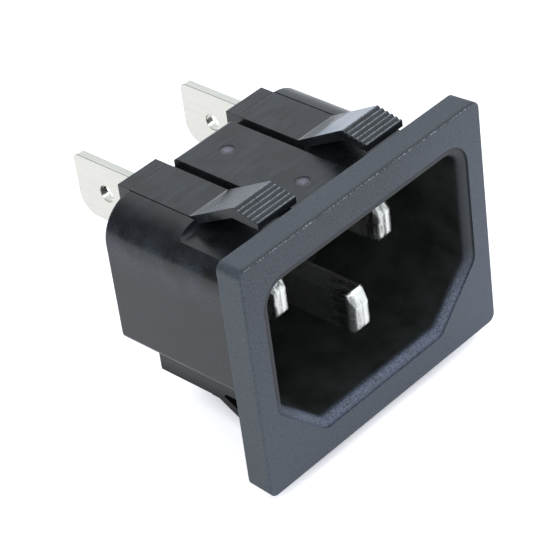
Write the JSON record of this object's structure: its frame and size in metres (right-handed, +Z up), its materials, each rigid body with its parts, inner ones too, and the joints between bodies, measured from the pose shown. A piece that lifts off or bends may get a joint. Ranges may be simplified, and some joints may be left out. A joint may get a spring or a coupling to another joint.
{
  "type": "c14 panel inlet socket",
  "caption": "Snap-in mains appliance inlet: keyed socket with flange, toothed snap fingers, flat contact blades and push-on rear tabs.",
  "frame": {"origin": "centre of the flange's back face, in the plane that bears on the panel", "axes": "+X along the long side, +Y through the panel to the rear, +Z up with the keyed corners at the bottom"},
  "size_m": [0.0312, 0.0289, 0.0262],
  "materials": {
    "housing": "moulded black nylon, fine spark-eroded texture on the flange",
    "terminal": "stamped brass, bright nickel plate"
  },
  "bodies": {
    "root": {"housing": "housing", "line_terminal": "terminal", "neutral_terminal": "terminal", "earth_terminal": "terminal"}
  },
  "joints": []
}
